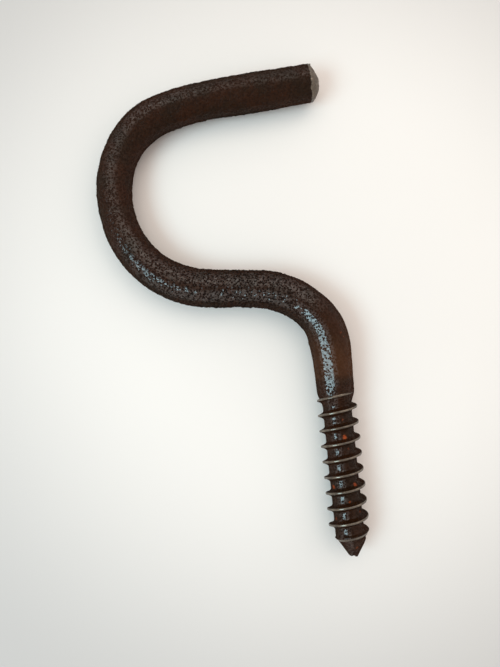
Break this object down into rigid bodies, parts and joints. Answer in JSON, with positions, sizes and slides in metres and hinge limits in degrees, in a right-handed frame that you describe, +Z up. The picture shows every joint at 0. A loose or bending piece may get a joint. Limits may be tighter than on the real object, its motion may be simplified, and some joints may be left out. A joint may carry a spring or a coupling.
{
  "type": "screw hook",
  "caption": "Screw hook bent from one forged steel rod, with a coarse wood-screw thread, an offset neck and a round open hook that ends in a straight arm.",
  "frame": {"origin": "on the screw's axis, where the plain shank ends and the thread begins", "axes": "+Y along the screw's axis from the point towards the shank, +X towards the hook's open side, +Z up from the surface that it lies on"},
  "size_m": [0.058, 0.1185, 0.0094],
  "materials": {
    "forged_scale": "black-brown forge scale, pebbled, worn bright on the thread's crests, with a few rust spots"
  },
  "bodies": {
    "root": {"screw_hook": "forged_scale"}
  },
  "joints": []
}
